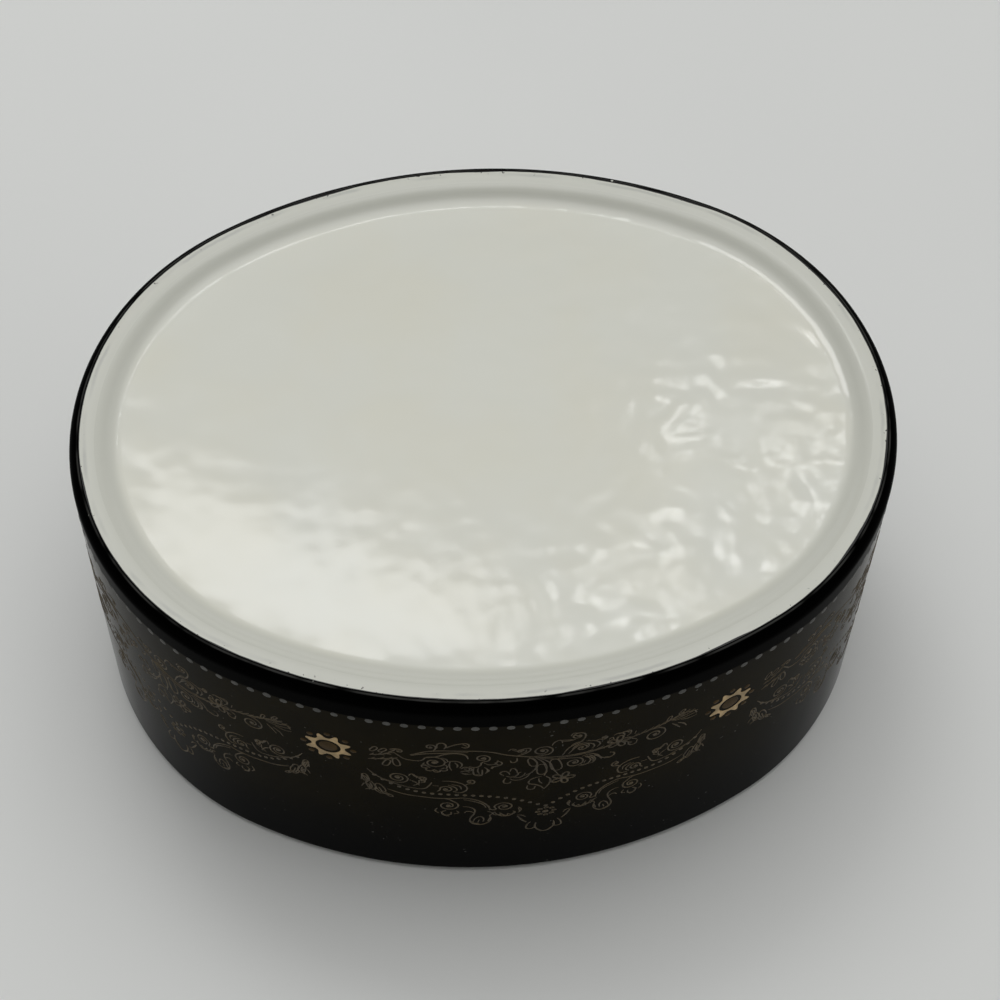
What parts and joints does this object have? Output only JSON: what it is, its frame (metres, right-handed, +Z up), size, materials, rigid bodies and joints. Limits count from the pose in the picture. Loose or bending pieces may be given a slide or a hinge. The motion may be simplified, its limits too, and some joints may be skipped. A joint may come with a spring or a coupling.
{
  "type": "oval porcelain trinket box",
  "caption": "Oval porcelain trinket box lying face down: white glazed foot, straight black wall with gold ornament, and a flat lid seated inside the rim that the box lifts off.",
  "frame": {"origin": "centre of the oval on the surface that the box lies on, which is the lid's flat top, face down", "axes": "+Z up, out of the foot; +X along the oval's length; +Y away from the picture's viewer"},
  "size_m": [0.114, 0.09, 0.0513],
  "materials": {
    "porcelain": "glossy, slightly wavy glaze",
    "black_coat": "satin black coat",
    "gold_print": "burnished gold print"
  },
  "bodies": {
    "lid": {"lid": "porcelain", "lid_black_coat": "black_coat"},
    "box": {"box_body": "porcelain", "box_black_coat": "black_coat"}
  },
  "joints": [
    {"name": "box_lift", "type": "slide", "parent": "lid", "child": "box", "axis": [0, 0, 1], "range_m": [0, 0.06]}
  ]
}
